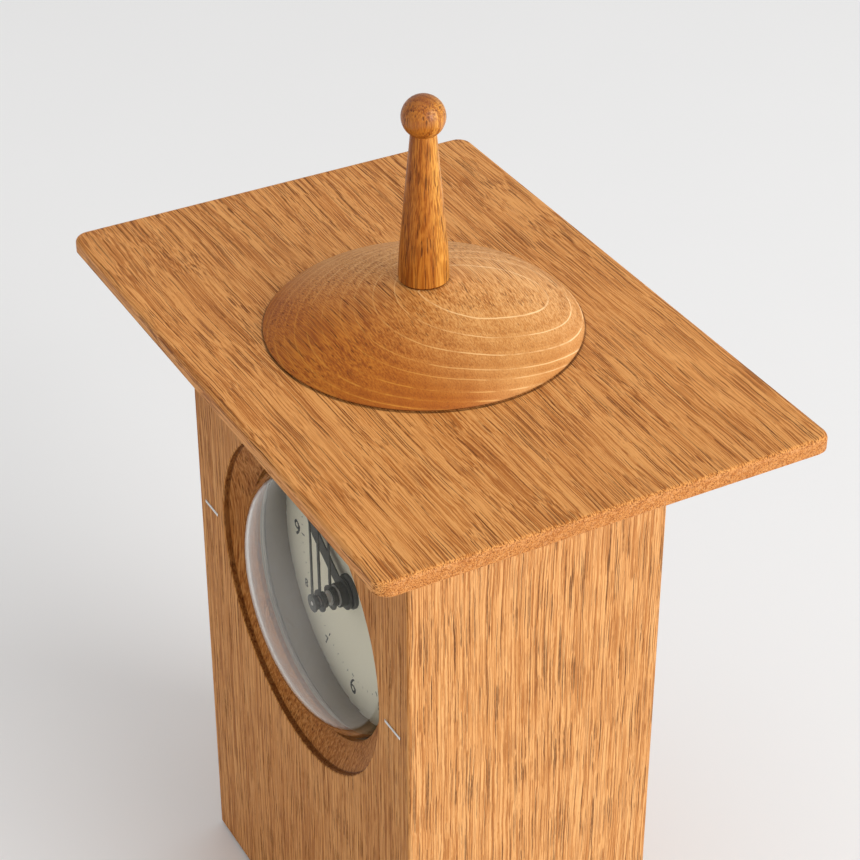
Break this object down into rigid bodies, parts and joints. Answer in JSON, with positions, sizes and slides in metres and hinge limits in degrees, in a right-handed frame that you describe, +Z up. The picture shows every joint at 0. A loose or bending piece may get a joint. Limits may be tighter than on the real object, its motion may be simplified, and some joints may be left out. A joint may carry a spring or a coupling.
{
  "type": "wooden desk clock",
  "caption": "Upright oak desk clock: mitred case under a wide thin roof board with turned dome and finial, round quartz alarm insert set in the front.",
  "frame": {"origin": "centre of the roof's outline, on the plane that the felt pads stand on", "axes": "+Z up, front and dial towards -Y, +X to the right seen from the front"},
  "size_m": [0.15, 0.1024, 0.2227],
  "materials": {
    "oak_case": "clear satin oil, upright grain",
    "oak_roof": "clear satin oil, grain along the front",
    "oak_turned": "turned, clear satin oil",
    "oak_inner": "unfinished",
    "silver": "satin polished",
    "glass": "clear",
    "rubber": "matt",
    "ring_light": "satin",
    "ring_grey": "satin",
    "can_black": "matt",
    "dial_white": "matt print",
    "hand_grey": "satin",
    "movement_black": "fine textured",
    "gear_white": "natural acetal",
    "steel": "bright",
    "magnet": "satin",
    "copper": "enamelled wire",
    "board_green": "solder mask",
    "buzzer_black": "matt",
    "cell": "printed sleeve, plain",
    "contact": "bright plated",
    "knob_black": "fine textured",
    "felt": "felt"
  },
  "bodies": {
    "case": {"front_panel": "oak_case", "left_side": "oak_case", "right_side": "oak_case", "back_panel": "oak_case", "bottom_board": "oak_case", "roof_board": "oak_roof", "dome": "oak_turned", "finial_post": "oak_turned", "finial_ball": "oak_turned", "corner_blocks": "oak_inner", "finial_dowel": "oak_inner", "ball_pin": "steel", "movement_screws": "steel", "stator": "steel", "inlay_bars": "silver", "bezel_ring": "silver", "lens": "glass", "lens_gasket": "rubber", "insert_gasket": "rubber", "movement_washer": "rubber", "upper_ring": "ring_light", "lower_ring": "ring_grey", "housing_can": "can_black", "dial_plate": "dial_white", "hub_nut": "hand_grey", "movement_case": "movement_black", "movement_back": "movement_black", "coil": "copper", "circuit_board": "board_green", "crystal": "contact", "contact_pos": "contact", "contact_neg": "contact", "buzzer": "buzzer_black", "battery": "cell", "felt_pads": "felt"},
    "seconds": {"second_hand": "hand_grey", "second_wheel": "gear_white"},
    "minutes": {"minute_hand": "hand_grey", "minute_arbor": "gear_white"},
    "alarm": {"alarm_hand": "hand_grey", "alarm_wheel": "gear_white"},
    "hours": {"hour_hand": "hand_grey", "hour_wheel": "gear_white"},
    "time_setting": {"minute_wheel": "gear_white", "time_knob": "knob_black"},
    "alarm_setting": {"alarm_pinion": "gear_white", "alarm_knob": "knob_black"},
    "third": {"third_wheel": "gear_white"},
    "step_rotor": {"rotor": "magnet"},
    "alarm_slider": {"alarm_switch": "knob_black"}
  },
  "joints": [
    {"name": "time_set_turn", "type": "hinge", "parent": "case", "child": "time_setting", "pos_m": [0.00848, -0.00305, 0.11439], "axis": [0, 1, 0], "continuous": true},
    {"name": "minute_turn", "type": "hinge", "parent": "case", "child": "minutes", "pos_m": [0, -0.01805, 0.1059], "axis": [0, 1, 0], "continuous": true},
    {"name": "hour_turn", "type": "hinge", "parent": "case", "child": "hours", "pos_m": [0, -0.01805, 0.1059], "axis": [0, 1, 0], "continuous": true},
    {"name": "alarm_set_turn", "type": "hinge", "parent": "case", "child": "alarm_setting", "pos_m": [-0.00465, -0.00305, 0.11587], "axis": [0, 1, 0], "continuous": true},
    {"name": "alarm_turn", "type": "hinge", "parent": "case", "child": "alarm", "pos_m": [0, -0.01805, 0.1059], "axis": [0, 1, 0], "continuous": true},
    {"name": "second_turn", "type": "hinge", "parent": "case", "child": "seconds", "pos_m": [0, -0.01805, 0.1059], "axis": [0, 1, 0], "continuous": true},
    {"name": "third_turn", "type": "hinge", "parent": "case", "child": "third", "pos_m": [-0.01034, -0.00505, 0.10772], "axis": [0, 1, 0], "continuous": true},
    {"name": "rotor_turn", "type": "hinge", "parent": "case", "child": "step_rotor", "pos_m": [-0.01485, -0.00205, 0.11445], "axis": [0, 1, 0], "continuous": true},
    {"name": "alarm_switch_slide", "type": "slide", "parent": "case", "child": "alarm_slider", "axis": [1, 0, 0], "range_m": [0, 0.003]}
  ],
  "couplings": [
    {"joint": "minute_turn", "follows": "time_set_turn", "ratio": -3},
    {"joint": "hour_turn", "follows": "time_set_turn", "ratio": -0.25},
    {"joint": "alarm_turn", "follows": "alarm_set_turn", "ratio": -0.375},
    {"joint": "third_turn", "follows": "second_turn", "ratio": -6},
    {"joint": "rotor_turn", "follows": "second_turn", "ratio": 30}
  ]
}
